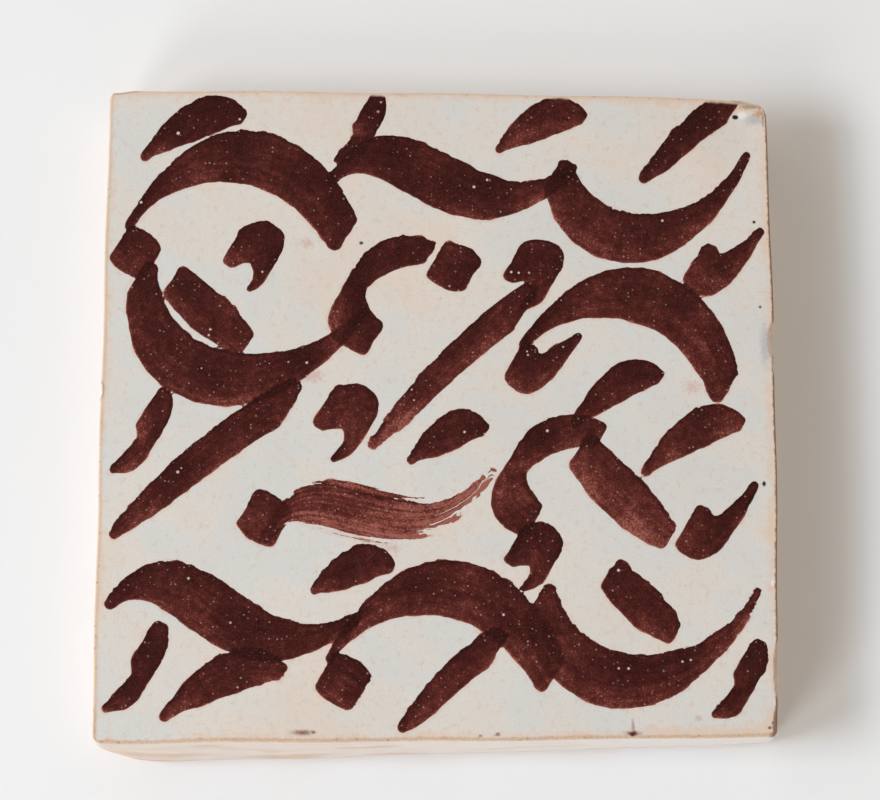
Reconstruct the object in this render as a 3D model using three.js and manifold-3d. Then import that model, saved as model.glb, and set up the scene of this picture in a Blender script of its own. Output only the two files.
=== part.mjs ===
// A hand-made square wall tile: one slab of buff earthenware, glazed white on its face.
// It lies on its back. Millimetres, +Z up out of the glazed face, +X to the right of the
// painting and +Y to its top. The origin is the middle of the flat back, the bedding face.

import * as THREE from 'three';
import { mergeVertices } from 'three/addons/utils/BufferGeometryUtils.js';
import Module from 'manifold-3d';

// Driving dimensions of the slab
const SIDE = 150;
const THICKNESS = 19;
const EDGE_ROLL = 0.4;

// The corners of the face, as the cutter left them: not quite square
const CORNERS = {
  topLeft: { x: -74.8, y: 76, radius: 2.6 },
  topRight: { x: 74.7, y: 74.6, radius: 4.2 },
  bottomRight: { x: 75.25, y: -73.9, radius: 1.4 },
  bottomLeft: { x: -75.2, y: -76.1, radius: 2 },
};

// How far the middle of each cut side stands out from a straight line between its corners
const BOWS = { top: 0.5, right: 1, bottom: 0.3, left: 0.15 };

// The knife wandered a little along each side
const WANDER = 0.12;
const WANDER_LENGTH = 43;

// The lower side leans out at its left end and in at its right end, at the level of the back
const LEAN_LEFT = 1.25;
const LEAN_RIGHT = -2.45;

// The back corner at the lower left is worn off round, over this length of the side
const WORN_LENGTH = 20;
const WORN_DEPTH = 5;

// The walls swell a little at mid depth and turn under where the slab lay on the bench
const SWELL = 0.35;
const TURN_UNDER_START = 15.5;
const TURN_UNDER = 1;

// The face is slightly crowned and uneven, and sinks at its top right corner
const CROWN = 0.45;
const UNEVEN = 0.16;
const UNEVEN_LENGTH = 67;
const CORNER_DIP = { x: 70, y: 67, reach: 13, depth: 0.7 };

// Knocks along the edge of the face: middle of each one and its half lengths
const CHIPS = [
  { at: [77.2, 17.2, 15.5], half: [2.6, 5.4, 7] },
  { at: [77.1, 11.2, 18.4], half: [1.6, 3, 1.6] },
  { at: [76.4, -59, 17.9], half: [1.6, 7.5, 1.9] },
  { at: [-77, 4.6, 16], half: [2.5, 3, 5] },
  { at: [-77, 77.3, 18.4], half: [10, 2, 4] },
  { at: [77, 78.2, 18.2], half: [11.5, 4.8, 5] },
];

// The grid that the slab is shaped from, closer together towards the edges
const FACE_STEPS = 36;
const WALL_STEPS = 8;
const CROWDING = 1.7;

// The slab is shaped deeper than it is thick, and the bench trims its back flat
const TRIM = 2;

const HALF = SIDE / 2;
const SHAPED_DEPTH = THICKNESS + TRIM;

function mix(from, to, share) {
  return from + (to - from) * share;
}

function smoothStep(share) {
  const held = Math.min(1, Math.max(0, share));
  return held * held * (3 - 2 * held);
}

// A number from -1 to 1, moved outwards so that grid lines crowd at both ends
function crowd(value) {
  return Math.sign(value) * (1 - (1 - Math.abs(value)) ** CROWDING);
}

// A square corner bent to a round one: u and v run from 0 to radius at the sharp corner
function roundCorner(u, v, radius) {
  if (u <= 0 || v <= 0) {
    return [u, v];
  }
  const half = 2 * radius * radius;
  return [u * Math.sqrt(1 - (v * v) / half), v * Math.sqrt(1 - (u * u) / half)];
}

function nearestCorner(x, y) {
  if (y > 0) {
    return x > 0 ? CORNERS.topRight : CORNERS.topLeft;
  }
  return x > 0 ? CORNERS.bottomRight : CORNERS.bottomLeft;
}

// The plan of the slab: a point of the plain square, moved into the hand-cut outline
function handCut(x, y) {
  const { topLeft, topRight, bottomRight, bottomLeft } = CORNERS;
  const across = (x / HALF + 1) / 2;
  const up = (y / HALF + 1) / 2;
  const cutX = mix(mix(bottomLeft.x, bottomRight.x, across), mix(topLeft.x, topRight.x, across), up);
  const cutY = mix(mix(bottomLeft.y, topLeft.y, up), mix(bottomRight.y, topRight.y, up), across);
  const bowX = x > 0 ? BOWS.right : BOWS.left;
  const bowY = y > 0 ? BOWS.top : BOWS.bottom;
  const turn = (2 * Math.PI) / WANDER_LENGTH;
  const outX = bowX * (1 - (y / HALF) ** 2) - WANDER * Math.sin(turn * y + Math.sign(x));
  const outY = bowY * (1 - (x / HALF) ** 2) + WANDER * Math.sin(turn * x + Math.sign(y));
  return [cutX + (outX * x) / HALF, cutY + (outY * y) / HALF];
}

// How far a wall stands out at a depth below the face, before it leans
function wallProfile(depth) {
  const swell = SWELL * Math.sin((Math.PI * depth) / THICKNESS);
  const under = TURN_UNDER * smoothStep((depth - TURN_UNDER_START) / (SHAPED_DEPTH - TURN_UNDER_START));
  return swell - under;
}

// How far the lower wall leans out at x, at the level of the back
function lowerLean(x) {
  const lean = mix(LEAN_LEFT, LEAN_RIGHT, (x / HALF + 1) / 2);
  const worn = Math.max(0, (WORN_LENGTH - HALF - x) / WORN_LENGTH);
  return lean - WORN_DEPTH * worn ** 3;
}

// How far the face lies below its highest point
function faceDip(x, y) {
  const crown = CROWN * ((x / HALF) ** 2 + (y / HALF) ** 2) / 2;
  const turn = (2 * Math.PI) / UNEVEN_LENGTH;
  const uneven = UNEVEN * (1 - Math.cos(turn * (x + 0.4 * y)) * Math.cos(turn * (y - 0.3 * x)));
  const away = Math.hypot(x - CORNER_DIP.x, y - CORNER_DIP.y) / CORNER_DIP.reach;
  return crown + uneven + CORNER_DIP.depth * smoothStep(1 - away);
}

// One grid point: a and b from -1 to 1 across the face, down from 0 at the face to 1
function clayPoint(a, b, down) {
  const ring = Math.max(Math.abs(crowd(a)), Math.abs(crowd(b)));
  const inset = HALF * (1 - ring);
  const depth = SHAPED_DEPTH * down ** CROWDING;

  const roll = roundCorner(EDGE_ROLL - inset, EDGE_ROLL - depth, EDGE_ROLL);
  const rolledInset = EDGE_ROLL - roll[0];
  const rolledDepth = EDGE_ROLL - roll[1];
  const scale = ring > 0 ? (HALF - rolledInset) / ring : HALF;
  let x = crowd(a) * scale;
  let y = crowd(b) * scale;

  const { radius } = nearestCorner(x, y);
  const flat = HALF - radius;
  const bent = roundCorner(Math.abs(x) - flat, Math.abs(y) - flat, radius);
  x = Math.sign(x) * (flat + bent[0]);
  y = Math.sign(y) * (flat + bent[1]);

  const share = rolledDepth / THICKNESS;
  const out = wallProfile(rolledDepth);
  const lean = y < 0 ? lowerLean(x) * share : 0;
  const place = handCut(x, y);
  place[0] += (out * x) / HALF;
  place[1] += ((out + lean) * y) / HALF;
  const z = THICKNESS - rolledDepth - faceDip(x, y) * (1 - share);
  return [place[0], place[1], z];
}

function shapedSlab() {
  const slab = new THREE.BoxGeometry(2, 2, 1, FACE_STEPS, FACE_STEPS, WALL_STEPS);
  const points = slab.attributes.position;
  for (let i = 0; i < points.count; i += 1) {
    const down = 0.5 - points.getZ(i);
    points.setXYZ(i, ...clayPoint(points.getX(i), points.getY(i), down));
  }
  return slab;
}

// What the bench keeps off: everything below the back
function bench() {
  const block = new THREE.BoxGeometry(2 * SIDE, 2 * SIDE, 2 * TRIM);
  return block.translate(0, 0, -TRIM);
}

function knock({ at, half }) {
  const bite = new THREE.SphereGeometry(1, 12, 8);
  return bite.scale(...half).translate(...at);
}

const wasm = await Module();
wasm.setup();

function toSolid(geometry) {
  geometry.deleteAttribute('normal');
  geometry.deleteAttribute('uv');
  const welded = mergeVertices(geometry);
  return new wasm.Manifold(new wasm.Mesh({
    numProp: 3,
    vertProperties: new Float32Array(welded.attributes.position.array),
    triVerts: new Uint32Array(welded.index.array),
  }));
}

function toGeometry(solid) {
  const mesh = solid.getMesh();
  const geometry = new THREE.BufferGeometry();
  geometry.setAttribute('position', new THREE.BufferAttribute(mesh.vertProperties, 3));
  geometry.setIndex(new THREE.BufferAttribute(mesh.triVerts, 1));
  return geometry;
}

function makeTile() {
  let clay = toSolid(shapedSlab()).subtract(toSolid(bench()));
  for (const chip of CHIPS) {
    clay = clay.subtract(toSolid(knock(chip)));
  }
  const geometry = toGeometry(clay);
  geometry.computeBoundingBox();
  const middle = geometry.boundingBox.getCenter(new THREE.Vector3());
  geometry.translate(-middle.x, -middle.y, 0);
  geometry.computeVertexNormals();

  const glaze = new THREE.MeshStandardMaterial({ color: 0xd4cdc3, roughness: 0.35, metalness: 0 });
  const tile = new THREE.Mesh(geometry, glaze);
  tile.name = 'tile';
  return tile;
}

const model = new THREE.Group();
model.add(makeTile());

export default model;
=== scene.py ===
# A hand-made wall tile of buff earthenware: white glazed face, brown brush marks, worn edges.
# It lies on its back. Metres, +Z up out of the face, +Y to the top of the painting.

import math

import bmesh
import bpy
import numpy as np
from mathutils import Matrix, Vector


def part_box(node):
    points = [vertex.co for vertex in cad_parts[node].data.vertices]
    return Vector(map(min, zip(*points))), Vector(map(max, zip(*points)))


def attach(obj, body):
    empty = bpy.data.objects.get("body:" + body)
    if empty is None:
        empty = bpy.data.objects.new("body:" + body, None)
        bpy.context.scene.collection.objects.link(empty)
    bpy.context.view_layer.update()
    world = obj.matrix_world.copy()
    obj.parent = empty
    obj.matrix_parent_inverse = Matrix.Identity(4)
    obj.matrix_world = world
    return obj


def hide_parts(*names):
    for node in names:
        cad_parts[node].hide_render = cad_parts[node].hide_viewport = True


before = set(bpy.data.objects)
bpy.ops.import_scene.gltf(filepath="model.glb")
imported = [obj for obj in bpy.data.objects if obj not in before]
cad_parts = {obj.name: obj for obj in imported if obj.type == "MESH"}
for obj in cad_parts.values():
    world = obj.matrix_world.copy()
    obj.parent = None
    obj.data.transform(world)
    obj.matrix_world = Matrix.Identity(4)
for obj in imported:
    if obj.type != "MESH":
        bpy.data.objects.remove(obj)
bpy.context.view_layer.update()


# The table and the light
# A plain pale table top. A wide window stands to the left, low enough to throw a soft shadow to
# the right, with a bluer pane above it. A tall window is in front. The walls give light back.

TABLE_SIZE = 8.0
TABLE_COLOUR = (0.80, 0.80, 0.80, 1)
TABLE_ROUGHNESS = 0.85
TABLE_GLEAM = 0.2
SIDE_WALLS = (0.98, 0.87, 0.74)
BACK_WALL = (0.68, 0.65, 0.63)
WINDOW_DISTANCE = 2.4

# Each window: its turn from -X towards -Y, its rise above the table, its width and height in
# metres, watts and colour
WINDOWS = (
    ("left_window", 15, 37, 1.20, 0.42, 28.7, (0.91, 0.93, 1.0)),
    ("left_upper_pane", 12, 45, 1.02, 0.34, 11.6, (0.55, 0.81, 1.0)),
    ("front_window", 56, 25, 0.76, 1.38, 24.3, (0.88, 0.94, 1.0)),
)

table_mesh = bmesh.new()
bmesh.ops.create_grid(table_mesh, x_segments=1, y_segments=1, size=TABLE_SIZE / 2)
table_top = bpy.data.meshes.new("table_top")
table_mesh.to_mesh(table_top)
table_mesh.free()
table = bpy.data.objects.new("table_top", table_top)
bpy.context.collection.objects.link(table)

table_paint = bpy.data.materials.new("matt_white_table")
table_paint.use_nodes = True
table_shader = table_paint.node_tree.nodes["Principled BSDF"]
table_shader.inputs["Base Color"].default_value = TABLE_COLOUR
table_shader.inputs["Roughness"].default_value = TABLE_ROUGHNESS
table_shader.inputs["Specular IOR Level"].default_value = TABLE_GLEAM
table_top.materials.append(table_paint)

room = bpy.data.worlds.new("room")
room.use_nodes = True
room_nodes, room_links = room.node_tree.nodes, room.node_tree.links
facing = room_nodes.new("ShaderNodeSeparateXYZ")
outlook = room_nodes.new("ShaderNodeTexCoord").outputs["Generated"]
room_links.new(outlook, facing.inputs["Vector"])
sideways = room_nodes.new("ShaderNodeMath")
sideways.operation = "ABSOLUTE"
room_links.new(facing.outputs["X"], sideways.inputs[0])
backwards = room_nodes.new("ShaderNodeMath")
backwards.operation = "MAXIMUM"
backwards.inputs[1].default_value = 0.0
room_links.new(facing.outputs["Y"], backwards.inputs[0])
from_back = room_nodes.new("ShaderNodeVectorMath")
from_back.operation = "MULTIPLY"
room_links.new(backwards.outputs[0], from_back.inputs[0])
from_back.inputs[1].default_value = BACK_WALL
from_all = room_nodes.new("ShaderNodeVectorMath")
from_all.operation = "MULTIPLY_ADD"
room_links.new(sideways.outputs[0], from_all.inputs[0])
from_all.inputs[1].default_value = SIDE_WALLS
room_links.new(from_back.outputs[0], from_all.inputs[2])
room_links.new(from_all.outputs[0], room_nodes["Background"].inputs["Color"])
bpy.context.scene.world = room
bpy.context.scene.view_settings.view_transform = "Standard"

for name, turn, rise, wide, tall, watts, colour in WINDOWS:
    window = bpy.data.lights.new(name, "AREA")
    window.shape = "RECTANGLE"
    window.size = wide
    window.size_y = tall
    window.energy = watts
    window.color = colour
    window_lamp = bpy.data.objects.new(name, window)
    turn, rise = math.radians(turn), math.radians(rise)
    outwards = Vector((
        -math.cos(rise) * math.cos(turn),
        -math.cos(rise) * math.sin(turn),
        math.sin(rise),
    ))
    window_lamp.matrix_world = (
        Matrix.Translation(outwards * WINDOW_DISTANCE)
        @ outwards.to_track_quat("Z", "Y").to_matrix().to_4x4()
    )
    bpy.context.collection.objects.link(window_lamp)


# The clay slab
# Buff earthenware, rolled out about 19 mm thick and cut by knife to a rough 15 cm square. The
# cut sides wander, the edge of the face is rolled soft, and corners and edges have been knocked.

SIDE = 0.150
THICKNESS = 0.019
HALF = SIDE / 2
EDGE_ROLL = 0.0004
CORNERS = {
    (-1, 1): (-0.0748, 0.0760),
    (1, 1): (0.0747, 0.0746),
    (1, -1): (0.07525, -0.0739),
    (-1, -1): (-0.0752, -0.0761),
}
CORNER_RADII = {(-1, 1): 0.0026, (1, 1): 0.0042, (1, -1): 0.0014, (-1, -1): 0.0020}
SIDE_BOWS = {"top": 0.0005, "right": 0.001, "bottom": 0.0003, "left": 0.00015}
WANDER = 0.00012
WANDER_LENGTH = 0.043
LEAN_LEFT = 0.00125
LEAN_RIGHT = -0.00245
WORN_LENGTH = 0.020
WORN_DEPTH = 0.005
WALL_SWELL = 0.00035
TURN_UNDER_START = 0.0155
TURN_UNDER_REACH = 0.0055
TURN_UNDER = 0.001
CROWN = 0.00045
UNEVEN = 0.00016
UNEVEN_LENGTH = 0.067
CORNER_DIP = (0.070, 0.067)
CORNER_DIP_REACH = 0.013
CORNER_DIP_DEPTH = 0.0007

# Knocks: where each one is on the slab, and its half lengths
CHIPS = (
    ((0.0772, 0.0172, 0.0155), (0.0026, 0.0054, 0.0070)),
    ((0.0771, 0.0112, 0.0184), (0.0016, 0.0030, 0.0016)),
    ((0.0764, -0.0590, 0.0179), (0.0016, 0.0075, 0.0019)),
    ((-0.0770, 0.0046, 0.0160), (0.0025, 0.0030, 0.0050)),
    ((-0.0770, 0.0773, 0.0184), (0.0100, 0.0020, 0.0040)),
    ((0.0770, 0.0782, 0.0182), (0.0115, 0.0048, 0.0050)),
)

# The grid that the slab is shaped from: a plain box from -1 to 1 each way, with its lines closer
# together towards the edges. A point past BOX_END lies on that side of the box.
BOX_END = 0.9999
BACK_STEPS = 90
FACE_CUTS = 2
WALL_ROWS = 14
FACE_CROWDING = 1.25
WALL_CROWDING = 1.5


def edges_along(mesh, axis):
    """The edges of the plain box that run along X, Y or Z."""
    found = []
    for edge in mesh.edges:
        step = edge.verts[0].co - edge.verts[1].co
        if abs(step[axis]) > abs(step[axis - 1]) + abs(step[axis - 2]):
            found.append(edge)
    return found


def crowd(value):
    """A number from -1 to 1, moved outwards so that grid lines crowd at both ends."""
    return np.sign(value) * (1 - (1 - abs(value)) ** FACE_CROWDING)


def smooth_step(share):
    held = np.clip(share, 0, 1)
    return held * held * (3 - 2 * held)


def round_corner(u, v, radius):
    """A square corner bent round, where u and v both lie between 0 and the radius."""
    in_corner = (u > 0) & (v > 0)
    inner_u = np.where(in_corner, u, 0)
    inner_v = np.where(in_corner, v, 0)
    twice = 2 * radius * radius
    bent_u = inner_u * np.sqrt(1 - inner_v * inner_v / twice)
    bent_v = inner_v * np.sqrt(1 - inner_u * inner_u / twice)
    return np.where(in_corner, bent_u, u), np.where(in_corner, bent_v, v)


def by_corner(values, x, y):
    """One value for each point, from the corner of the slab that it is nearest to."""
    right = np.where(y > 0, values[(1, 1)], values[(1, -1)])
    left = np.where(y > 0, values[(-1, 1)], values[(-1, -1)])
    return np.where(x > 0, right, left)


def hand_cut(x, y):
    """The plan of the slab: points of the plain square, moved into the hand-cut outline."""
    place = np.zeros((2, len(x)))
    for (side_x, side_y), corner in CORNERS.items():
        weight = (1 + side_x * x / HALF) * (1 + side_y * y / HALF) / 4
        place += weight * np.array(corner)[:, None]
    turn = 2 * math.pi / WANDER_LENGTH
    bow_x = np.where(x > 0, SIDE_BOWS["right"], SIDE_BOWS["left"])
    bow_y = np.where(y > 0, SIDE_BOWS["top"], SIDE_BOWS["bottom"])
    out_x = bow_x * (1 - (y / HALF) ** 2) - WANDER * np.sin(turn * y + np.sign(x))
    out_y = bow_y * (1 - (x / HALF) ** 2) + WANDER * np.sin(turn * x + np.sign(y))
    return place[0] + out_x * x / HALF, place[1] + out_y * y / HALF


def wall_profile(depth):
    """How far a wall stands out at a depth below the face, before it leans."""
    under = smooth_step((depth - TURN_UNDER_START) / TURN_UNDER_REACH)
    return WALL_SWELL * np.sin(math.pi * depth / THICKNESS) - TURN_UNDER * under


def lower_lean(x):
    """How far the lower wall leans out at the level of the back, with its worn left corner."""
    lean = LEAN_LEFT + (LEAN_RIGHT - LEAN_LEFT) * (x / HALF + 1) / 2
    worn = np.maximum(0, (WORN_LENGTH - HALF - x) / WORN_LENGTH)
    return lean - WORN_DEPTH * worn ** 3


def face_dip(x, y):
    """How far the face lies below its highest point."""
    crown = CROWN * ((x / HALF) ** 2 + (y / HALF) ** 2) / 2
    turn = 2 * math.pi / UNEVEN_LENGTH
    uneven = UNEVEN * (1 - np.cos(turn * (x + 0.4 * y)) * np.cos(turn * (y - 0.3 * x)))
    away = np.hypot(x - CORNER_DIP[0], y - CORNER_DIP[1]) / CORNER_DIP_REACH
    return crown + uneven + CORNER_DIP_DEPTH * smooth_step(1 - away)


def ripple(points, length, seed):
    """A soft random relief from -1 to 1, from waves about one length long in all directions."""
    draw = np.random.default_rng(seed)
    waves = 14
    total = np.zeros(len(points))
    for _ in range(waves):
        direction = draw.normal(size=points.shape[1])
        direction /= np.linalg.norm(direction)
        turn = 2 * math.pi / (length * draw.uniform(0.7, 1.6))
        total += np.cos(points @ direction * turn + draw.uniform(0, 2 * math.pi))
    return total / math.sqrt(2 * waves)


slab = bmesh.new()
bmesh.ops.create_cube(slab, size=2)
bmesh.ops.subdivide_edges(slab, edges=edges_along(slab, 2), cuts=WALL_ROWS - 1)
for axis in (0, 1):
    bmesh.ops.subdivide_edges(slab, edges=edges_along(slab, axis), cuts=BACK_STEPS - 1)
for axis in (0, 1):
    finer = []
    for edge in edges_along(slab, axis):
        if any(face.calc_center_median().z > -BOX_END for face in edge.link_faces):
            finer.append(edge)
    bmesh.ops.subdivide_edges(slab, edges=finer, cuts=FACE_CUTS)
tile_mesh = bpy.data.meshes.new("tile_slab")
slab.to_mesh(tile_mesh)
slab.free()

count = len(tile_mesh.vertices)
box_points = np.empty(count * 3)
tile_mesh.vertices.foreach_get("co", box_points)
box_points = box_points.reshape(-1, 3)
box_a, box_b, box_c = box_points.T
on_wall = np.maximum(abs(box_a), abs(box_b)) > BOX_END

ring = np.maximum(abs(crowd(box_a)), abs(crowd(box_b)))
inset = HALF * (1 - ring)
depth = THICKNESS * ((1 - box_c) / 2) ** WALL_CROWDING
rolled_in, rolled_down = round_corner(EDGE_ROLL - inset, EDGE_ROLL - depth, EDGE_ROLL)
inset = EDGE_ROLL - rolled_in
depth = EDGE_ROLL - rolled_down
scale = (HALF - inset) / np.maximum(ring, 1e-9)
x, y = crowd(box_a) * scale, crowd(box_b) * scale

radius = by_corner(CORNER_RADII, x, y)
bent_x, bent_y = round_corner(abs(x) - HALF + radius, abs(y) - HALF + radius, radius)
x = np.sign(x) * (HALF - radius + bent_x)
y = np.sign(y) * (HALF - radius + bent_y)

down = depth / THICKNESS
out = wall_profile(depth)
lean = np.where(y < 0, lower_lean(x) * down, 0)
cut_x, cut_y = hand_cut(x, y)
points = np.stack([
    cut_x + out * x / HALF,
    cut_y + (out + lean) * y / HALF,
    THICKNESS - depth - face_dip(x, y) * (1 - down),
], axis=1)

# Fine relief, as heights and wave lengths: the glaze lies in soft waves, the cut walls are
# dragged along and pitted, the back is wiped and rough and never reaches below the table
GLAZE_WAVE = 0.00003
GLAZE_WAVE_LENGTH = 0.011
WALL_DRAG = 0.00013
WALL_DRAG_LENGTH = 0.0035
DRAGGED_ALONG = (0.18, 0.18, 1)
WALL_ROUGH = 0.00006
WALL_ROUGH_LENGTH = 0.003
BACK_HOLLOW = 0.00022
WIPE_LENGTH = 0.006
WIPED_ALONG = ((0.12, 0.9), (-0.12, 0.9))
PIT_LENGTH = 0.004

# Each dies away before the edge of its own side, over these lengths
GLAZE_WAVE_END = 0.0008
WALL_START = 0.0012
WALL_START_FADE = 0.002
WALL_END_FADE = 0.001
BACK_END = 0.004

face_share = smooth_step(inset / GLAZE_WAVE_END) * (box_c > 0)
wall_share = smooth_step((depth - WALL_START) / WALL_START_FADE)
wall_share *= smooth_step((THICKNESS - depth) / WALL_END_FADE)
wall_share *= on_wall
back_share = (box_c < -BOX_END) * smooth_step(inset / BACK_END)
waves = ripple(points[:, :2], GLAZE_WAVE_LENGTH, seed=1)
points[:, 2] += face_share * GLAZE_WAVE * (waves - 1)
drag = WALL_DRAG * ripple(points * DRAGGED_ALONG, WALL_DRAG_LENGTH, seed=2)
rough = WALL_ROUGH * ripple(points, WALL_ROUGH_LENGTH, seed=3)
push = wall_share * (drag + rough - WALL_DRAG)
points[:, 0] += np.where(abs(box_a) > BOX_END, push * np.sign(box_a), 0)
points[:, 1] += np.where(abs(box_b) > BOX_END, push * np.sign(box_b), 0)
wiped = ripple(points[:, :2] @ np.array(WIPED_ALONG), WIPE_LENGTH, seed=4)
pitted = ripple(points[:, :2], PIT_LENGTH, seed=5)
points[:, 2] += back_share * BACK_HOLLOW * np.clip(0.5 + 0.25 * wiped + 0.25 * pitted, 0, 1)

# A knock pushes the points inside it away from a place above it and outside the slab, as far
# as its round surface. Its bare patch ends a little beyond that surface.
KNOCK_RISE = 0.003
KNOCK_OUT = 0.5
KNOCK_PATCH_END = 1.25
KNOCK_PATCH_FADE = 0.3
chipped = np.zeros(count)
for middle, half in CHIPS:
    away = (points - middle) / half
    length = np.linalg.norm(away, axis=1)
    bitten = length < 1
    struck_from = np.array([
        KNOCK_OUT * np.sign(middle[0]), 0, (THICKNESS + KNOCK_RISE - middle[2]) / half[2],
    ])
    way = away[bitten] - struck_from
    along = way @ struck_from
    across = (way ** 2).sum(axis=1)
    reach = (np.sqrt(along ** 2 - across * (struck_from @ struck_from - 1)) - along) / across
    points[bitten] = np.array(middle) + (struck_from + reach[:, None] * way) * half
    chipped = np.maximum(chipped, smooth_step((KNOCK_PATCH_END - length) / KNOCK_PATCH_FADE))

# The middle of the slab's box is the middle of the CAD solid's
tile_low, tile_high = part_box("tile")
cad_middle = (np.array(tile_low) + np.array(tile_high)) / 2
shift = cad_middle[:2] - (points[:, :2].min(axis=0) + points[:, :2].max(axis=0)) / 2
face_points = points[:, :2].copy()
points[:, :2] += shift
tile_mesh.vertices.foreach_set("co", points.ravel())


def keep_on_tile(name, values):
    """Stores one number for each vertex, for the finish to read."""
    layer = tile_mesh.attributes.new(name, "FLOAT", "POINT")
    layer.data.foreach_set("value", np.asarray(values, dtype=np.float32))


keep_on_tile("inset", inset)
keep_on_tile("depth", depth)
keep_on_tile("chipped", chipped)

# The map for the baked finish: the face large, three walls below it, one wall and the back
# beside it
MAP_FACE = 0.70
MAP_GAP = 0.006
MAP_WALL = MAP_FACE * THICKNESS / SIDE
MAP_BACK = 1 - MAP_FACE - 3 * MAP_GAP
SHARP_FROM = math.radians(50)


def bake_map():
    """Lays the six sides of the slab out flat, each in its own place of the map."""
    loops = len(tile_mesh.loops)
    corner_of = np.empty(loops, dtype=int)
    tile_mesh.loops.foreach_get("vertex_index", corner_of)
    faces = len(tile_mesh.polygons)
    sides_of = np.empty(faces, dtype=int)
    tile_mesh.polygons.foreach_get("loop_total", sides_of)
    face_of = np.repeat(np.arange(faces), sides_of)
    middles = np.stack([
        np.bincount(face_of, box_points[corner_of, axis]) / sides_of for axis in range(3)
    ], axis=1)
    a, b = (crowd(box_points[corner_of, 0]) + 1) / 2, (crowd(box_points[corner_of, 1]) + 1) / 2
    fall = depth[corner_of] / THICKNESS
    a_side, b_side, c_side = middles[face_of].T
    wall_u = np.where(abs(a_side) > BOX_END, b, a) * MAP_FACE + MAP_GAP
    row = np.select([b_side < -BOX_END, b_side > BOX_END, a_side > BOX_END], [0, 1, 2], 3)
    floor_v = 1 - MAP_FACE - 2 * MAP_GAP - row * (MAP_WALL + MAP_GAP)
    u = np.where(row == 3, MAP_FACE + 2 * MAP_GAP + fall * MAP_WALL, wall_u)
    v = np.where(row == 3, b * MAP_FACE + 1 - MAP_FACE - MAP_GAP, floor_v - fall * MAP_WALL)
    on_face = c_side > BOX_END
    u = np.where(on_face, a * MAP_FACE + MAP_GAP, u)
    v = np.where(on_face, b * MAP_FACE + 1 - MAP_FACE - MAP_GAP, v)
    on_back = c_side < -BOX_END
    u = np.where(on_back, MAP_FACE + 2 * MAP_GAP + a * MAP_BACK, u)
    v = np.where(on_back, MAP_GAP + b * MAP_BACK, v)
    layer = tile_mesh.uv_layers.new(name="OFBake")
    layer.data.foreach_set("uv", np.stack([u, v], axis=1).astype(np.float32).ravel())


bake_map()
tile_mesh.polygons.foreach_set("use_smooth", np.ones(len(tile_mesh.polygons), dtype=bool))
tile_mesh.set_sharp_from_angle(angle=SHARP_FROM)
tile = bpy.data.objects.new("painted_tile", tile_mesh)
bpy.context.collection.objects.link(tile)


# The brush marks
# Manganese brown painted on the raw glaze in four rows, with one flat brush held at a steady
# slant, so that a mark is wide across the brush and thin along it. They have no thickness.

BRUSH_SLANT = math.radians(60)
BRUSH_HALF_WIDTH = 0.0062
BRUSH_HALF_THICK = 0.0020
BRUSH_CORNER = 0.0014
STEPS_PER_MARK = 120

# How the hand moves, in millimetres: four guiding points, and the press at the start, the
# middle and the end
MOVES = {
    "wave": (((-26, -4), (-14, 16), (6, -20), (27, 5)), (0.45, 1.05, 0.3)),
    "bowl": (((-24, 10), (-21, -15), (10, -18), (26, 9)), (0.8, 1.1, 0.3)),
    "arch": (((-24, -9), (-14, 14), (10, 16), (24, -7)), (0.25, 1.1, 0.8)),
    "slash": (((17, 12), (6, 7), (-8, -4), (-18, -12)), (1.0, 1.15, 0.4)),
    "fall": (((-8, 12), (-4, 4), (3, -5), (8, -12)), (0.8, 0.95, 0.6)),
    "leaf": (((-12, -4), (-5, 3), (4, 5), (11, 3)), (0.35, 1.0, 0.35)),
    "hook": (((9, 10), (-4, 12), (-14, -4), (-3, -9)), (0.5, 1.0, 0.75)),
    "tick": (((-6, -2), (-3, -7), (2, -3), (8, 8)), (0.95, 0.9, 0.3)),
    "drop": (((3, 6), (4, 1), (1, -4), (-6, -8)), (0.95, 0.9, 0.2)),
    "comma": (((-4, 4), (5, 7), (7, -1), (-3, -9)), (0.95, 0.95, 0.15)),
    "lozenge": (((-2.8, 2), (-1, 0.8), (1, -0.8), (2.8, -2)), (0.85, 0.95, 0.8)),
}

# Each mark: its move, its middle across and up the face in millimetres, its turn in degrees,
# its size, and how dry the brush had run
TOP_ROW = (
    ("arch", -45, 51, -4, 1.0, 0.1), ("leaf", -55, 66, 6, 0.95, 0.0),
    ("comma", -41, 36, 10, 0.8, 0.0), ("lozenge", -68, 37, 0, 0.85, 0.0),
    ("wave", 3, 56, -8, 1.0, 0.15), ("drop", -18, 66, 0, 0.8, 0.0),
    ("leaf", 24, 67, 4, 0.8, 0.1), ("bowl", 49, 50, 8, 0.85, 0.1), ("slash", 57, 65, 8, 0.6, 0.0),
)
SECOND_ROW = (
    ("bowl", -44, 17, -8, 1.0, 0.15), ("fall", -51, 23, 14, 0.7, 0.0),
    ("hook", -12, 27, 0, 1.05, 0.1), ("lozenge", 4, 34, 10, 0.9, 0.0),
    ("slash", 3, 9, 10, 1.05, 0.35), ("arch", 44, 19, -14, 0.95, 0.1),
    ("comma", 22, 32, 0, 0.8, 0.0), ("tick", 65, 36, -6, 0.9, 0.0),
    ("leaf", 41, 4, 12, 0.85, 0.0), ("tick", 24, 12, -10, 0.8, 0.0),
)
THIRD_ROW = (
    ("slash", -52, -13, 4, 1.1, 0.2), ("drop", -66, -6, 0, 0.95, 0.0),
    ("lozenge", -38, -25, 0, 0.95, 0.0), ("wave", -13, -22, 6, 0.95, 0.95),
    ("comma", -20, -3, 0, 0.9, 0.0), ("leaf", 3, -7, 6, 0.7, 0.0),
    ("hook", 25, -15, -6, 1.1, 0.1), ("fall", 42, -19, 10, 0.9, 0.1),
    ("leaf", 58, -7, 10, 0.95, 0.0), ("tick", 63, -25, 0, 0.95, 0.0),
)
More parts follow.
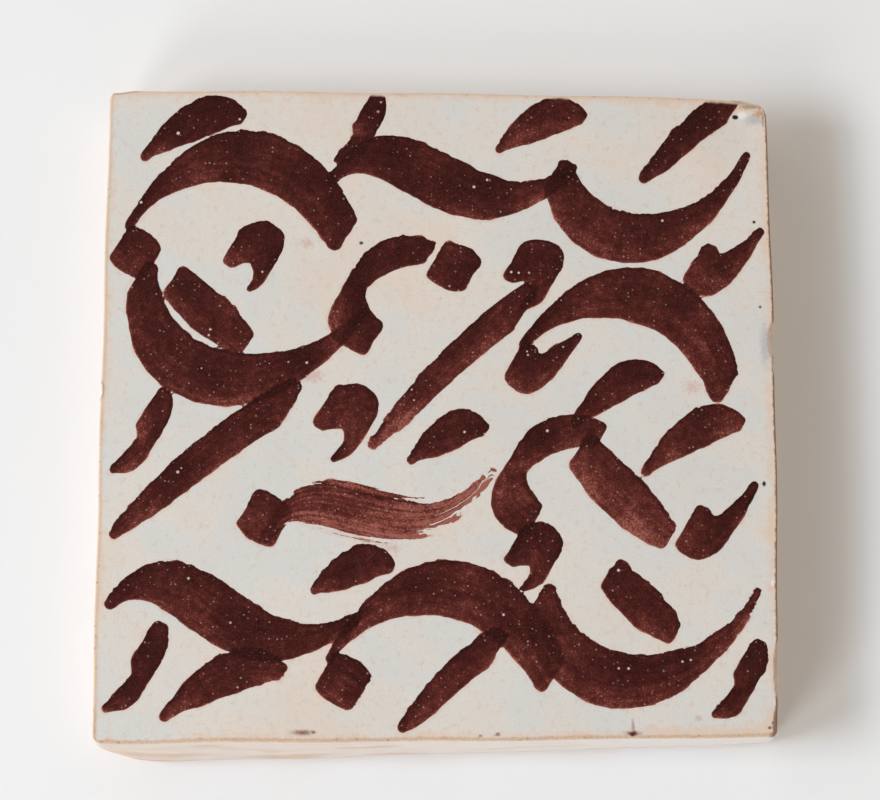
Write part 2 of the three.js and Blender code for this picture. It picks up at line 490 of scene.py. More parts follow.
BOTTOM_ROW = (
    ("wave", -45, -46, -14, 1.0, 0.2), ("leaf", -46, -64, 4, 1.1, 0.3),
    ("drop", -66, -60, 0, 1.0, 0.0), ("leaf", -18, -38, 0, 0.7, 0.0),
    ("arch", 2, -50, -6, 1.0, 0.15), ("lozenge", -20, -62, 0, 0.95, 0.3),
    ("slash", 3, -63, 8, 0.6, 0.2), ("bowl", 47, -52, 4, 0.95, 0.4),
    ("fall", 46, -44, 12, 0.6, 0.0), ("comma", 22, -34, 0, 0.75, 0.0),
    ("drop", 67, -62, 0, 0.85, 0.0),
)
MM = 0.001

# Paint covers fully this far inside a mark, tints the glaze this far outside it, and stays on
# the face. Each mark has its own load of paint, and dries from this share of its dryness on.
COVERED_OVER = 0.0003
HALO_REACH = 0.0015
DEEPEST_PAINT = 0.001
LOAD_RANGE = (0.85, 1.15)
DRY_AT_START = 0.4
MARK_SEED = 7


def hand_path(move, across, up, turn, size):
    """Where the middle of the brush goes, and how wide and thick its print is on the way."""
    guides, (start, middle, end) = MOVES[move]
    share = np.linspace(0, 1, STEPS_PER_MARK)
    weights = np.stack([
        (1 - share) ** 3, 3 * (1 - share) ** 2 * share, 3 * (1 - share) * share ** 2, share ** 3,
    ], axis=1)
    path = weights @ np.array(guides) * size
    turned = math.radians(turn)
    path = path @ np.array([
        [math.cos(turned), math.sin(turned)], [-math.sin(turned), math.cos(turned)],
    ])
    swell = np.sin(math.pi * share)
    foot = np.where(share < 0.5, start, end)
    press = foot + (middle - foot) * swell
    # A small mark takes less of the brush's width, and a light press less of its thickness
    half_width = BRUSH_HALF_WIDTH * press * min(1, 0.55 + 0.45 * size)
    half_thick = BRUSH_HALF_THICK * np.minimum(1, 0.35 + 0.65 * press)
    return (path + (across, up)) * MM, half_width, half_thick


def paint_marks():
    """How deep each point lies inside the marks, and how the brush went over it."""
    edge = np.full(count, -1.0)
    load, streak, travel, dryness, lower = np.zeros((5, count))
    draw = np.random.default_rng(MARK_SEED)
    wide = np.array([math.cos(BRUSH_SLANT), math.sin(BRUSH_SLANT)])
    thin = np.array([-wide[1], wide[0]])
    paintable = (box_c > 0) & (depth < DEEPEST_PAINT)
    for mark in TOP_ROW + SECOND_ROW + THIRD_ROW + BOTTOM_ROW:
        path, half_width, half_thick = hand_path(*mark[:5])
        reach = half_width.max() + 2 * HALO_REACH
        low, high = path.min(axis=0) - reach, path.max(axis=0) + reach
        in_reach = ((face_points > low) & (face_points < high)).all(axis=1)
        near = np.flatnonzero(paintable & in_reach)
        away = face_points[near, None] - path
        corner = np.minimum(BRUSH_CORNER, half_thick)
        over_wide = abs(away @ wide) - half_width + corner
        over_thin = abs(away @ thin) - half_thick + corner
        outside = np.hypot(np.maximum(over_wide, 0), np.maximum(over_thin, 0))
        inside = corner - outside - np.minimum(np.maximum(over_wide, over_thin), 0)
        best = inside.argmax(axis=1)
        rows = np.arange(len(near))
        deepest = inside[rows, best]
        share = best / STEPS_PER_MARK
        length = np.linalg.norm(np.diff(path, axis=0), axis=1).sum()
        load[near] += np.clip(deepest / COVERED_OVER + 0.5, 0, 1) * draw.uniform(*LOAD_RANGE)
        own = (deepest > 0) | ((deepest > edge[near]) & (deepest > -HALO_REACH))
        seen = near[own]
        streak[seen] = ((away @ wide)[rows, best])[own] + draw.uniform(-1, 1)
        travel[seen] = share[own] * length
        dryness[seen] = mark[5] * (DRY_AT_START + (1 - DRY_AT_START) * share[own])
        side = -away[rows, best, 1] / np.maximum(half_width[best], 1e-6)
        lower[seen] = side[own]
        edge[near] = np.maximum(edge[near], deepest)
    return edge, load, streak, travel, dryness, lower


MARK_NAMES = ("mark_edge", "mark_load", "mark_streak", "mark_travel", "mark_dry", "mark_lower")
for name, values in zip(MARK_NAMES, paint_marks()):
    keep_on_tile(name, values)


# The finish of the tile
# Opaque white glaze, warm where it lies thin over the clay and cooler where it lies thick. It
# has drawn back from the edge, where buff clay with brown flecks shows. The walls are bare clay
# smeared with glaze, and the back is plain bare clay.

def from_screen(red, green, blue):
    """A colour as a screen shows it, from 0 to 255, turned into the shader's numbers."""
    linear = []
    for level in (red, green, blue):
        share = level / 255
        linear.append(share / 12.92 if share <= 0.04045 else ((share + 0.055) / 1.055) ** 2.4)
    return (*linear, 1)


class Recipe:
    """Puts nodes into one node tree. Any input takes a plain value or another node's output."""

    def __init__(self, tree):
        self.tree = tree

    def put(self, socket, value):
        if isinstance(value, bpy.types.NodeSocket):
            self.tree.links.new(value, socket)
        else:
            socket.default_value = value

    def node(self, kind, *values, **settings):
        made = self.tree.nodes.new(kind)
        for setting, choice in settings.items():
            setattr(made, setting, choice)
        for socket, value in zip(made.inputs, values):
            if value is not None:
                self.put(socket, value)
        return made

    def math(self, operation, *values):
        return self.node("ShaderNodeMath", *values, operation=operation).outputs[0]

    def times(self, first, second):
        return self.math("MULTIPLY", first, second)

    def plus(self, first, second):
        return self.math("ADD", first, second)

    def mix(self, share, first, second):
        made = self.node("ShaderNodeMix", share, data_type="RGBA")
        self.put(made.inputs[6], first)
        self.put(made.inputs[7], second)
        return made.outputs[2]

    def blend(self, share, first, second):
        """From the first number to the second."""
        return self.node("ShaderNodeMix", share, None, first, second).outputs[0]

    def larger(self, first, second):
        return self.math("MAXIMUM", first, second)

    def rest_of(self, share):
        return self.math("SUBTRACT", 1.0, share)

    def sway(self, base, noise, width):
        """The base, moved up and down by noise from 0 to 1, over the given width."""
        return self.math("MULTIPLY_ADD", self.math("SUBTRACT", noise, 0.5), width, base)

    def fade(self, value, start, end, low=0.0, high=1.0):
        """From low where the value is at the start, softly to high where it is at the end."""
        made = self.node("ShaderNodeMapRange", value, start, end, low, high)
        made.interpolation_type = "SMOOTHSTEP"
        return made.outputs[0]

    def clouds(self, place, size, detail=2.0, roughness=0.5, offset=0.0, flat=True):
        """Soft noise from 0 to 1 whose patches are about one size across."""
        spread = size if isinstance(size, tuple) else (size, size, size)
        scaled = self.node(
            "ShaderNodeVectorMath", place, tuple(1 / each for each in spread), (offset,) * 3,
            operation="MULTIPLY_ADD",
        )
        kind = "2D" if flat else "3D"
        made = self.node("ShaderNodeTexNoise", scaled.outputs[0], noise_dimensions=kind)
        made.inputs["Scale"].default_value = 1.0
        made.inputs["Detail"].default_value = detail
        made.inputs["Roughness"].default_value = roughness
        return made.outputs[0]

    def attribute(self, name):
        return self.node("ShaderNodeAttribute", attribute_name=name).outputs["Fac"]

    def use(self, group, **values):
        made = self.tree.nodes.new("ShaderNodeGroup")
        made.node_tree = group
        for label, value in values.items():
            self.put(made.inputs[label], value)
        return made.outputs[0]


def new_effect(name, **inputs):
    """An empty node group with the named inputs and one output, Mask."""
    group = bpy.data.node_groups.new(name, "ShaderNodeTree")
    for label, value in inputs.items():
        kind = "NodeSocketVector" if isinstance(value, tuple) else "NodeSocketFloat"
        group.interface.new_socket(label, in_out="INPUT", socket_type=kind).default_value = value
    group.interface.new_socket("Mask", in_out="OUTPUT", socket_type="NodeSocketFloat")
    recipe = Recipe(group)
    arrives = recipe.node("NodeGroupInput").outputs
    leaves = recipe.node("NodeGroupOutput").inputs["Mask"]
    return group, recipe, arrives, leaves


# Small round specks: one in each cell of the given spacing, in only a share of the cells
specks, recipe, given, mask = new_effect(
    "specks", Place=(0.0, 0.0, 0.0), Spacing=0.001, Share=0.5, Radius=0.0002, Soft=0.3,
)
cells = recipe.node("ShaderNodeTexVoronoi", given["Place"])
recipe.put(cells.inputs["Scale"], recipe.math("DIVIDE", 1.0, given["Spacing"]))
chance = recipe.node("ShaderNodeSeparateColor", cells.outputs["Color"]).outputs
reach = recipe.math("DIVIDE", given["Radius"], given["Spacing"])
reach = recipe.times(reach, recipe.math("MULTIPLY_ADD", chance["Green"], 0.7, 0.5))
inwards = recipe.math("SUBTRACT", reach, cells.outputs["Distance"])
speck = recipe.fade(recipe.math("DIVIDE", inwards, reach), 0.0, given["Soft"])
recipe.put(mask, recipe.times(speck, recipe.math("LESS_THAN", chance["Red"], given["Share"])))

# A single ragged blot round a place on the face
blot, recipe, given, mask = new_effect(
    "blot", Place=(0.0, 0.0, 0.0), Middle=(0.0, 0.0, 0.0), Spread=(1000.0, 1000.0, 0.0),
    Ragged=0.0, Soft=0.25,
)
away = recipe.node("ShaderNodeVectorMath", given["Place"], given["Middle"], operation="SUBTRACT")
away = recipe.node("ShaderNodeVectorMath", away.outputs[0], given["Spread"], operation="MULTIPLY")
away = recipe.node("ShaderNodeVectorMath", away.outputs[0], operation="LENGTH").outputs["Value"]
away = recipe.plus(away, given["Ragged"])
near_end = recipe.rest_of(given["Soft"])
recipe.put(mask, recipe.fade(away, recipe.plus(1.0, given["Soft"]), near_end))

finish = bpy.data.materials.new("painted_tin_glaze")
finish.use_nodes = True
shader = finish.node_tree.nodes["Principled BSDF"]
recipe = Recipe(finish.node_tree)
place = recipe.node("ShaderNodeTexCoord").outputs["Object"]
across, up, height_now = recipe.node("ShaderNodeSeparateXYZ", place).outputs
inset_in = recipe.attribute("inset")
depth_in = recipe.attribute("depth")
chipped_in = recipe.attribute("chipped")
WALL_BEGINS = (0.0001, 0.0007)
on_wall_now = recipe.fade(depth_in, *WALL_BEGINS)

# Slow changes over the tile, from 0 to 1: the patches' size, and how many times finer ones are
# laid over them
SLOW_CLOUDS = {
    "large": ((0.040, 0.040, 0.040), 2),
    "middling": ((0.010, 0.010, 0.010), 3),
    "pools": ((0.009, 0.009, 0.009), 2),
    "patchy": ((0.005, 0.005, 0.005), 2),
    "drawn": ((0.020, 0.020, 0.0030), 3),
    "wiped": ((0.050, 0.006, 0.050), 3),
}
CLOUD_WAVE = 1.4
CLOUD_DEPTH = 0.2
CLOUD_SEED = 20
SEEDS_EACH = 5
for number, (name, (spread, layers)) in enumerate(SLOW_CLOUDS.items()):
    total = np.zeros(count)
    for layer in range(layers):
        finer = 2 ** layer
        seed = CLOUD_SEED + SEEDS_EACH * number + layer
        total += ripple(points / spread * finer, CLOUD_WAVE, seed) / finer
    keep_on_tile(name, 0.5 + CLOUD_DEPTH * total)
large = recipe.attribute("large")
middling = recipe.attribute("middling")
pools = recipe.attribute("pools")

# Quick changes over the tile, also from 0 to 1, with the patches' size
FINE_SIZE = 0.0018
GRAIN_SIZE = 0.00042
fine = recipe.clouds(place, FINE_SIZE, 4.0, 0.75, offset=8.4)
grain = recipe.clouds(place, GRAIN_SIZE, 2.0, 0.6, offset=9.0)

# Glaze: cool and warm in slow patches, dull in quick ones, with brown flecks. It is tan where it
# thins out towards the edge, in a band that wavers and is widest at the lower right.
GLAZE = from_screen(213, 206, 198)
GLAZE_WARM = from_screen(216, 202, 190)
GLAZE_COOL = from_screen(208, 206, 202)
GLAZE_EDGE = from_screen(214, 190, 171)
GLAZE_DULL = from_screen(200, 190, 178)
GLAZE_FLECK = from_screen(172, 150, 128)
LOWER_BAND = (-0.064, -0.071)
TAN_BAND = (0.0011, -0.0016)
TAN_SLOW_WAVER = -0.0030
TAN_QUICK_WAVER = -0.0050
TAN_WIDER_RIGHT = -0.0033
TAN_WIDER_LOWER_RIGHT = 0.0010
warmth = recipe.plus(recipe.times(large, 0.5), recipe.times(middling, 0.5))
warmth = recipe.sway(warmth, fine, 0.3)
glaze = recipe.mix(recipe.fade(warmth, 0.52, 0.42), GLAZE, GLAZE_COOL)
glaze = recipe.mix(recipe.fade(warmth, 0.54, 0.68), glaze, GLAZE_WARM)
glaze = recipe.mix(recipe.fade(fine, 0.52, 0.78, 0.0, 0.90), glaze, GLAZE_DULL)
glaze = recipe.mix(recipe.fade(grain, 0.46, 0.80, 0.0, 0.60), glaze, GLAZE_DULL)
near_edge = recipe.math("MULTIPLY_ADD", middling, TAN_SLOW_WAVER, inset_in)
near_edge = recipe.math("MULTIPLY_ADD", across, TAN_WIDER_RIGHT, near_edge)
near_edge = recipe.sway(near_edge, fine, TAN_QUICK_WAVER)
lower_right = recipe.fade(across, 0.020, 0.065, 0.0, TAN_WIDER_LOWER_RIGHT)
lower_right = recipe.times(recipe.fade(up, *LOWER_BAND), lower_right)
near_edge = recipe.math("SUBTRACT", near_edge, lower_right)
glaze = recipe.mix(recipe.fade(near_edge, *TAN_BAND, 0.0, 0.85), glaze, GLAZE_EDGE)
glaze_flecks = recipe.use(
    specks, Place=place, Spacing=0.0045, Share=0.35, Radius=0.00035, Soft=0.9,
)
glaze = recipe.mix(recipe.times(glaze_flecks, 0.5), glaze, GLAZE_FLECK)

# The outline of the marks: it wobbles, its upper side is bitten, and a dry brush frays
HAIR_SIZE = (0.0012, 0.030, 1.0)
WOBBLE_SIZE = 0.0046
EDGE_WOBBLE = 0.0009
BITE_SIZE = 0.0023
BITE_DEPTHS = (0.00015, 0.0010)
FRAY_DEPTH = 0.0024
PAINT_EDGE = (-0.00006, 0.00008)
edge_in = recipe.attribute("mark_edge")
dry_in = recipe.attribute("mark_dry")
lower_in = recipe.attribute("mark_lower")
streak_in = recipe.attribute("mark_streak")
brushed = recipe.node("ShaderNodeCombineXYZ", streak_in, recipe.attribute("mark_travel"))
hairs = recipe.clouds(brushed.outputs[0], HAIR_SIZE, 3.0, 0.6)
wobble = recipe.clouds(place, WOBBLE_SIZE, 2.0, offset=7.7)
bite = recipe.clouds(place, BITE_SIZE, 2.0, 0.55, offset=1.3)
bitten = recipe.fade(lower_in, 0.1, -0.6, *BITE_DEPTHS)
bitten = recipe.times(bitten, recipe.fade(middling, 0.44, 0.60, 0.3, 1.1))
edge_now = recipe.sway(edge_in, wobble, EDGE_WOBBLE)
edge_now = recipe.sway(edge_now, bite, bitten)
fray = recipe.times(recipe.times(dry_in, dry_in), FRAY_DEPTH)
fray = recipe.times(recipe.fade(hairs, 0.42, 0.62), fray)
edge_now = recipe.math("SUBTRACT", edge_now, fray)
painted = recipe.fade(edge_now, *PAINT_EDGE)

# The amount of pigment: each layer hides more, it pools in places and at the upper side of a
# mark, it thins at the lower side, and a dry brush leaves little of it
LAYER_SHOWS = 0.42
MOTTLE_SIZE = 0.0016
POOL_RIM = (0.0010, 0.0003)
mottle = recipe.clouds(place, MOTTLE_SIZE, 2.0, 0.6, offset=12.0)
layers = recipe.rest_of(recipe.math("POWER", LAYER_SHOWS, recipe.attribute("mark_load")))
amount = recipe.sway(layers, pools, 0.50)
amount = recipe.sway(amount, large, 0.30)
amount = recipe.math("MULTIPLY_ADD", dry_in, -0.42, amount)
amount = recipe.math("SUBTRACT", amount, recipe.fade(lower_in, -0.2, 0.9, 0.0, 0.14))
amount = recipe.sway(amount, hairs, recipe.math("MULTIPLY_ADD", dry_in, 0.8, 0.22))
amount = recipe.sway(amount, grain, 0.80)
amount = recipe.sway(amount, mottle, 0.38)
pooled = recipe.times(recipe.fade(edge_now, *POOL_RIM), recipe.fade(lower_in, 0.1, -0.5))
amount = recipe.math("MULTIPLY_ADD", pooled, 0.15, amount)

# Paint, from little pigment to much, with pale grain and specks, a thin warm lower rim, and a
# faint warm halo in the glaze beside it
PIGMENT = (
    (0.05, from_screen(152, 90, 78)),
    (0.28, from_screen(100, 44, 38)),
    (0.50, from_screen(62, 20, 17)),
    (0.74, from_screen(45, 11, 9)),
    (1.00, from_screen(37, 7, 6)),
)
PAINT_GRAIN = from_screen(178, 122, 104)
PAINT_SPECK = from_screen(202, 166, 156)
PAINT_HOLE = from_screen(214, 196, 186)
PAINT_RIM = from_screen(146, 84, 66)
PAINT_HALO = from_screen(206, 160, 130)
THIN_RIM = (0.00045, 0.0001)
HALO_BAND = (-0.0009, 0.0)
pigment = recipe.node("ShaderNodeValToRGB", amount)
stops = pigment.color_ramp.elements
while len(stops) < len(PIGMENT):
    stops.new(0.5)
for stop, (position, colour) in zip(stops, PIGMENT):
    stop.position = position
    stop.color = colour
paint = pigment.outputs["Color"]
pale_specks = recipe.use(
    specks, Place=place, Spacing=0.00095, Share=0.32, Radius=0.00026, Soft=0.8,
)
open_specks = recipe.use(
    specks, Place=place, Spacing=0.0020, Share=0.50, Radius=0.00042, Soft=0.5,
)
open_specks = recipe.times(open_specks, recipe.fade(pools, 0.60, 0.68))
paint = recipe.mix(recipe.fade(grain, 0.54, 0.80, 0.0, 0.16), paint, PAINT_GRAIN)
paint = recipe.mix(recipe.times(pale_specks, 0.48), paint, PAINT_SPECK)
paint = recipe.mix(recipe.times(open_specks, 0.85), paint, PAINT_HOLE)
thin_rim = recipe.fade(edge_now, *THIN_RIM)
thin_rim = recipe.times(thin_rim, recipe.fade(lower_in, -0.1, 0.45))
paint = recipe.mix(recipe.times(thin_rim, 0.20), paint, PAINT_RIM)
halo = recipe.fade(edge_now, *HALO_BAND)
halo = recipe.times(halo, recipe.fade(wobble, 0.35, 0.65, 0.05, 0.3))
halo = recipe.times(halo, recipe.fade(lower_in, -0.4, 0.4, 0.35, 1.0))
face_colour = recipe.mix(halo, glaze, PAINT_HALO)

# Stains, pinholes, a painted highlight and painted shade: the tint, the middle and half spread in
# millimetres on the face, how ragged and how soft the outline is, and the strength. The pale
# patch by the dip at the upper right corner is a painted highlight, and the lilac patch on the
# knock in the right edge is painted shade. The pinholes are kept on the tile for the gloss.
PINHOLE = from_screen(44, 30, 18)
MANGANESE = from_screen(112, 48, 40)
MANGANESE_DEEP = from_screen(60, 16, 14)
TAN = from_screen(214, 188, 164)
PINK = from_screen(196, 142, 130)
# Lilac grey of the dip at the upper right corner, and of the painted shade in the knock on the
# right edge
LILAC_AND_SHADE = from_screen(172, 171, 174)
RUST = from_screen(182, 126, 84)
# Brown of stains, pits and knock rims, and of the painted shade along the right edge
BROWN_AND_EDGE_SHADE = from_screen(104, 70, 48)
# Pale of a white nick on the right edge, and of the painted highlight at the upper right corner
PALE_AND_HIGHLIGHT = from_screen(228, 224, 220)
STAINS_AND_PAINTED_LIGHT = (
    (PINHOLE, -17.1, 39.7, 0.45, 0.40, 0.5, 0.3, 0.9),
    (TAN, 69.3, 73.0, 6.50, 1.70, 0.8, 0.9, 0.6),
    # Painted highlight on the slope of the dip at the upper right corner
    (PALE_AND_HIGHLIGHT, 69.5, 71.0, 1.10, 0.85, 0.2, 0.6, 1.0),
    (LILAC_AND_SHADE, 72.2, 70.0, 1.90, 1.05, 0.4, 0.8, 0.75),
    (PINHOLE, 67.9, 70.6, 0.70, 0.55, 0.3, 0.3, 1.0),
    (PINHOLE, 71.8, 45.2, 0.36, 0.32, 0.6, 0.4, 1.0),
    (PINHOLE, 72.9, 25.0, 0.36, 0.36, 0.8, 0.4, 0.9),
    (PINHOLE, 73.2, -16.3, 0.42, 0.60, 0.6, 0.4, 1.0),
    # Painted shade in the knock on the right edge
    (LILAC_AND_SHADE, 74.0, 16.0, 1.10, 4.20, 1.0, 0.6, 0.7),
    (PALE_AND_HIGHLIGHT, 75.0, -39.3, 0.60, 0.90, 0.5, 0.3, 0.9),
    (MANGANESE, -28.9, -73.6, 1.80, 0.50, 0.5, 1.0, 0.85),
    (MANGANESE, -26.5, -73.5, 0.40, 0.35, 0.6, 0.6, 0.7),
    (MANGANESE, 43.6, -73.3, 1.50, 0.45, 0.8, 0.9, 0.7),
    (MANGANESE, 43.6, -71.8, 0.32, 1.40, 0.9, 0.8, 0.5),
    (MANGANESE_DEEP, 43.6, -73.6, 0.80, 0.60, 0.6, 0.6, 0.95),
    (MANGANESE, 13.8, -73.8, 0.50, 0.40, 1.0, 0.5, 0.7),
    (MANGANESE, 10.1, -74.1, 0.35, 0.30, 1.0, 0.5, 0.6),
    (PINK, -28.0, 8.2, 2.20, 1.20, 1.8, 0.8, 0.5),
    (PINK, -10.0, -31.6, 1.80, 0.90, 1.8, 0.8, 0.4),
    (PINK, -29.5, 39.6, 1.20, 1.00, 1.4, 0.8, 0.45),
    (PINK, 57.5, 6.0, 1.60, 1.20, 1.8, 0.8, 0.45),
    (RUST, 73.6, 71.6, 1.30, 0.90, 1.2, 0.8, 0.75),
    (BROWN_AND_EDGE_SHADE, 71.0, 73.0, 2.40, 0.45, 0.8, 0.6, 0.45),
    (BROWN_AND_EDGE_SHADE, 74.3, 70.0, 0.40, 1.60, 0.8, 0.6, 0.7),
    (BROWN_AND_EDGE_SHADE, 74.4, -70.7, 0.30, 0.50, 1.0, 0.4, 0.9),
    (BROWN_AND_EDGE_SHADE, 73.7, -71.9, 0.35, 0.35, 1.0, 0.4, 0.9),
    (BROWN_AND_EDGE_SHADE, 75.0, -71.0, 0.35, 1.60, 1.0, 0.5, 0.8),
    (RUST, -70.9, -66.4, 0.60, 0.40, 1.0, 0.6, 0.6),
    (RUST, 58.0, -69.9, 0.70, 0.50, 1.0, 0.8, 0.4),
    (RUST, 62.8, -68.7, 0.55, 0.45, 1.0, 0.8, 0.4),
)
RAGGED_SIZE = 0.0008
ragged = recipe.math("SUBTRACT", recipe.clouds(place, RAGGED_SIZE, 3.0, 0.7, offset=2.9), 0.5)
pinholes = np.zeros(count)
soaked = 0.0
for tint, right, high, half_across, half_up, rag, soft, strength in STAINS_AND_PAINTED_LIGHT:
    middle = (right * MM + shift[0], high * MM + shift[1], 0.0)
    spread = (1 / (half_across * MM), 1 / (half_up * MM), 0.0)
    patch = recipe.use(
        blot, Place=place, Middle=middle, Spread=spread,
        Ragged=recipe.times(ragged, 2 * rag), Soft=soft,
    )
    face_colour = recipe.mix(recipe.times(patch, strength), face_colour, tint)
    if tint == PINHOLE:
        away = (face_points / MM - (right, high)) / (half_across, half_up)
        pinholes = np.maximum(pinholes, smooth_step(2 - np.linalg.norm(away, axis=1)))
    if tint in (MANGANESE, MANGANESE_DEEP):
        soaked = recipe.larger(soaked, patch)
keep_on_tile("pinholes", pinholes)
face_colour = recipe.mix(painted, face_colour, paint)

# Walls: bare clay, smeared white near the face and towards the right, the lower wall the most,
# and a clay line along the bench
CLAY = from_screen(213, 190, 165)
CLAY_PINK = from_screen(209, 183, 166)
SMEAR = from_screen(229, 222, 218)
SMEAR_THINS_DOWN = -14.0
FLECK = from_screen(118, 84, 66)
LOWER_WALL = (-0.0700, -0.0735)
BASE_BAND = (0.0165, 0.0180)
clay = recipe.mix(recipe.fade(recipe.attribute("patchy"), 0.4, 0.65), CLAY, CLAY_PINK)
flecks = recipe.use(specks, Place=place, Spacing=0.0014, Share=0.30, Radius=0.00028, Soft=0.8)
clay = recipe.mix(recipe.times(flecks, 0.55), clay, FLECK)
drawn = recipe.math("MULTIPLY_ADD", across, 2.0, recipe.attribute("drawn"))
smeared = recipe.math("MULTIPLY_ADD", depth_in, SMEAR_THINS_DOWN, drawn)
smeared = recipe.fade(smeared, 0.06, 0.34)
smeared = recipe.times(smeared, recipe.fade(across, -0.070, 0.060, 0.50, 0.88))
smeared = recipe.times(smeared, recipe.fade(up, *LOWER_WALL, 0.45, 1.0))
wall_colour = recipe.mix(smeared, clay, SMEAR)
base_line = recipe.math("MULTIPLY_ADD", across, -0.020, depth_in)
base_line = recipe.fade(base_line, *BASE_BAND, 0.0, 0.8)
wall_colour = recipe.mix(base_line, wall_colour, CLAY_PINK)

# The bare edge: clay, with a buff line and brown flecks that show most at the lower edge. Where
# a stain lies, it covers them.
BUFF = from_screen(186, 152, 122)
LOWER_EDGE = (-0.066, -0.072)
BARE_WIDTH = 0.0004
BARE_SLOW_WAVER = -0.0006
BARE_QUICK_WAVER = -0.0008
BARE_FADE = (0.0, -0.0009)
RIM_LINE = 0.0007
FLECK_BAND = (0.0007, 0.0001)
BUFF_BAND = (0.0006, 0.0001)
bare_edge = recipe.math("SUBTRACT", inset_in, BARE_WIDTH)
bare_edge = recipe.math("MULTIPLY_ADD", middling, BARE_SLOW_WAVER, bare_edge)
bare_edge = recipe.math("MULTIPLY_ADD", fine, BARE_QUICK_WAVER, bare_edge)
unstained = recipe.rest_of(soaked)
edge_shows = recipe.times(recipe.fade(bare_edge, *BARE_FADE), unstained)
from_rim = recipe.math("ABSOLUTE", recipe.plus(bare_edge, RIM_LINE))
rim_flecks = recipe.use(
    specks, Place=place, Spacing=0.0014, Share=0.70, Radius=0.00060, Soft=1.0,
)
rim_flecks = recipe.times(recipe.fade(from_rim, *FLECK_BAND), rim_flecks)
rim_flecks = recipe.times(rim_flecks, recipe.fade(up, *LOWER_EDGE, 0.30, 0.50))
rim_flecks = recipe.times(rim_flecks, unstained)
buff_line = recipe.fade(from_rim, *BUFF_BAND)
buff_line = recipe.times(buff_line, recipe.fade(grain, 0.28, 0.62, 0.3, 1.0))
buff_line = recipe.times(buff_line, recipe.fade(up, *LOWER_EDGE, 0.15, 0.75))
buff_line = recipe.times(buff_line, unstained)
colour = recipe.mix(edge_shows, face_colour, clay)
colour = recipe.mix(buff_line, colour, BUFF)
colour = recipe.mix(rim_flecks, colour, FLECK)
colour = recipe.mix(on_wall_now, colour, wall_colour)

# Painted shade along the rolled right edge and the top of the right wall, which turn away from
# the light: a brown line, wider at its lower end
RIGHT_EDGE = (0.0728, 0.0742)
EDGE_SHADE_WAVER = -0.0010
EDGE_SHADE_WIDER_LOW = 0.0005
EDGE_SHADE_ACROSS = (0.0001, -0.0003)
EDGE_SHADE_DOWN = (0.0030, 0.0012)
edge_shade_line = recipe.math("MULTIPLY_ADD", fine, EDGE_SHADE_WAVER, inset_in)
wider_low = recipe.fade(up, *LOWER_BAND, 0.0, EDGE_SHADE_WIDER_LOW)
edge_shade_line = recipe.math("SUBTRACT", edge_shade_line, wider_low)
edge_shade_line = recipe.fade(edge_shade_line, *EDGE_SHADE_ACROSS)
edge_shade_line = recipe.times(edge_shade_line, recipe.fade(across, *RIGHT_EDGE))
edge_shade_line = recipe.times(edge_shade_line, recipe.fade(depth_in, *EDGE_SHADE_DOWN, 0.0, 0.8))
colour = recipe.mix(edge_shade_line, colour, BROWN_AND_EDGE_SHADE)

# Knocks: bare clay, with a dirty rim where the glaze broke off
knocked = recipe.fade(recipe.sway(chipped_in, fine, 0.9), 0.35, 0.75, 0.0, 0.8)
colour = recipe.mix(knocked, colour, clay)
knock_rim = recipe.times(chipped_in, recipe.rest_of(chipped_in))
knock_rim = recipe.times(knock_rim, recipe.rest_of(on_wall_now))
colour = recipe.mix(recipe.times(knock_rim, 1.5), colour, BROWN_AND_EDGE_SHADE)

# Plain back: bare clay, wiped one way
BACK_BAND = (0.0009, 0.0004)
back_clay = recipe.mix(recipe.fade(recipe.attribute("wiped"), 0.35, 0.7), CLAY, CLAY_PINK)
back_clay = recipe.mix(recipe.times(flecks, 0.5), back_clay, FLECK)
colour = recipe.mix(recipe.fade(height_now, *BACK_BAND), colour, back_clay)
recipe.put(shader.inputs["Base Color"], colour)

# Gloss: the glaze shines, the paint and the pinholes less, and bare clay is matt
GLAZE_GLEAM = 0.5
PAINT_GLEAM = 0.12
CLAY_ROUGHNESS = 0.75
dull = recipe.larger(painted, recipe.attribute("pinholes"))
gloss = recipe.blend(dull, GLAZE_GLEAM, PAINT_GLEAM)
recipe.put(shader.inputs["Specular IOR Level"], gloss)
bare = recipe.larger(recipe.larger(edge_shows, on_wall_now), chipped_in)
sheen = recipe.math("MULTIPLY_ADD", middling, 0.12, 0.26)
sheen = recipe.math("MULTIPLY_ADD", painted, 0.06, sheen)
recipe.put(shader.inputs["Roughness"], recipe.blend(bare, sheen, CLAY_ROUGHNESS))

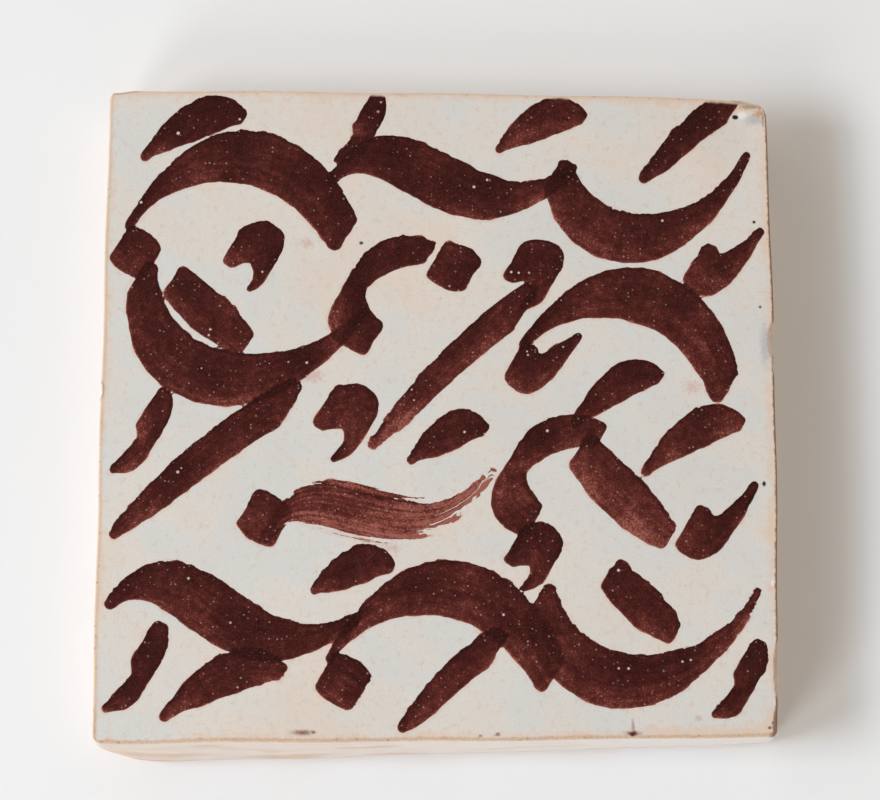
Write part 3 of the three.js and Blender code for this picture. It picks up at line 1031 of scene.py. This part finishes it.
# Bump: the skin of the glaze, the grain of the paint and the coarser grain of bare clay
BUMP_DEPTH = 0.00006
BUMP_STRENGTH = 0.6
SKIN_SIZE = 0.0015
CLAY_GRAIN_SIZE = 0.0009
BARE_RIM = (0.0011, 0.0002)
skin = recipe.times(recipe.clouds(place, SKIN_SIZE, 2.0, offset=4.0), 0.6)
under_paint = recipe.fade(edge_in, -0.0002, 0.0002, 0.0, 0.25)
skin = recipe.math("MULTIPLY_ADD", grain, under_paint, skin)
clay_grain = recipe.clouds(place, CLAY_GRAIN_SIZE, 4.0, 0.7, offset=6.0, flat=False)
rough_clay = recipe.larger(recipe.fade(inset_in, *BARE_RIM), on_wall_now)
rough_clay = recipe.larger(rough_clay, chipped_in)
height = recipe.math("MULTIPLY_ADD", recipe.times(clay_grain, rough_clay), 2.5, skin)
bump = recipe.node("ShaderNodeBump")
bump.inputs["Distance"].default_value = BUMP_DEPTH
bump.inputs["Strength"].default_value = BUMP_STRENGTH
recipe.put(bump.inputs["Height"], height)
recipe.put(shader.inputs["Normal"], bump.outputs["Normal"])

tile_mesh.materials.append(finish)
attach(tile, "root")
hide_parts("tile")


# The camera
# A long lens high above the table and a little towards its front edge. It looks down on the face
# at a slight slant, so that the lower wall shows.

CAMERA_PLACE = (-0.0014, -0.3042, 1.0338 + THICKNESS)
CAMERA_PITCH = math.radians(16.53)
CAMERA_YAW = math.radians(-0.12)
CAMERA_ROLL = math.radians(0.32)
FOCAL_PIXELS = 4816.5
PICTURE_WIDE = 880
SENSOR = 36.0

lens = bpy.data.cameras.new("camera")
lens.sensor_fit = "HORIZONTAL"
lens.sensor_width = SENSOR
lens.lens = FOCAL_PIXELS * SENSOR / PICTURE_WIDE
camera = bpy.data.objects.new("camera", lens)
camera.matrix_world = (
    Matrix.Translation(Vector(CAMERA_PLACE) + Vector((*shift, 0)))
    @ Matrix.Rotation(CAMERA_PITCH, 4, "X")
    @ Matrix.Rotation(CAMERA_YAW, 4, "Y")
    @ Matrix.Rotation(CAMERA_ROLL, 4, "Z")
)
bpy.context.collection.objects.link(camera)
bpy.context.scene.camera = camera
